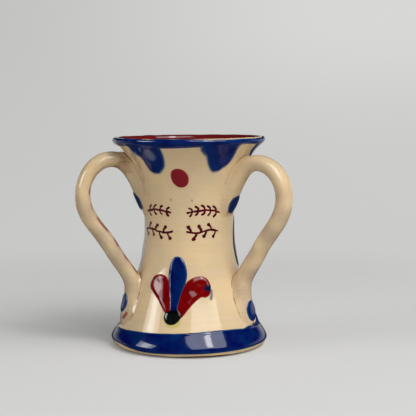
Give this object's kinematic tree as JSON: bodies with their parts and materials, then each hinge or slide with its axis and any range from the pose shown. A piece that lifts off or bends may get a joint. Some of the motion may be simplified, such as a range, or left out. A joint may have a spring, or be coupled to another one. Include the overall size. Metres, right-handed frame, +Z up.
{
  "type": "waisted handled vase",
  "caption": "Small waisted ceramic vase, open at the rim, with pulled strap handles and raised slip bands, runs, dots and petals; stands on a flat foot and holds small flowers.",
  "frame": {"origin": "middle of the flat foot, on the surface that the vase stands on", "axes": "+Z up along the vase's axis, -Y towards the front panel that the picture shows, +X to the viewer's right"},
  "size_m": [0.0776, 0.0694, 0.076],
  "materials": {
    "cream_glaze": "gloss",
    "blue_slip": "gloss",
    "red_slip": "gloss",
    "dark_slip": "gloss"
  },
  "bodies": {
    "root": {"body": "cream_glaze", "handle_left": "cream_glaze", "handle_right": "cream_glaze", "handle_back": "cream_glaze", "rim_slip": "blue_slip", "foot_slip": "blue_slip", "handle_left_upper_dot": "blue_slip", "handle_left_lower_dot": "blue_slip", "handle_right_upper_dot": "blue_slip", "handle_right_lower_dot": "blue_slip", "handle_back_upper_dot": "blue_slip", "handle_back_lower_dot": "blue_slip", "front_middle_petal": "blue_slip", "front_left_petal": "red_slip", "front_right_petal": "red_slip", "front_eye": "dark_slip", "front_rim_dot": "red_slip", "back_right_middle_petal": "blue_slip", "back_right_left_petal": "red_slip", "back_right_right_petal": "red_slip", "back_right_eye": "dark_slip", "back_right_rim_dot": "red_slip", "back_right_left_leaf": "dark_slip", "back_right_right_leaf": "dark_slip", "back_left_middle_petal": "blue_slip", "back_left_left_petal": "red_slip", "back_left_right_petal": "red_slip", "back_left_eye": "dark_slip", "back_left_rim_dot": "red_slip", "back_left_left_leaf": "dark_slip", "back_left_right_leaf": "dark_slip"}
  },
  "joints": []
}
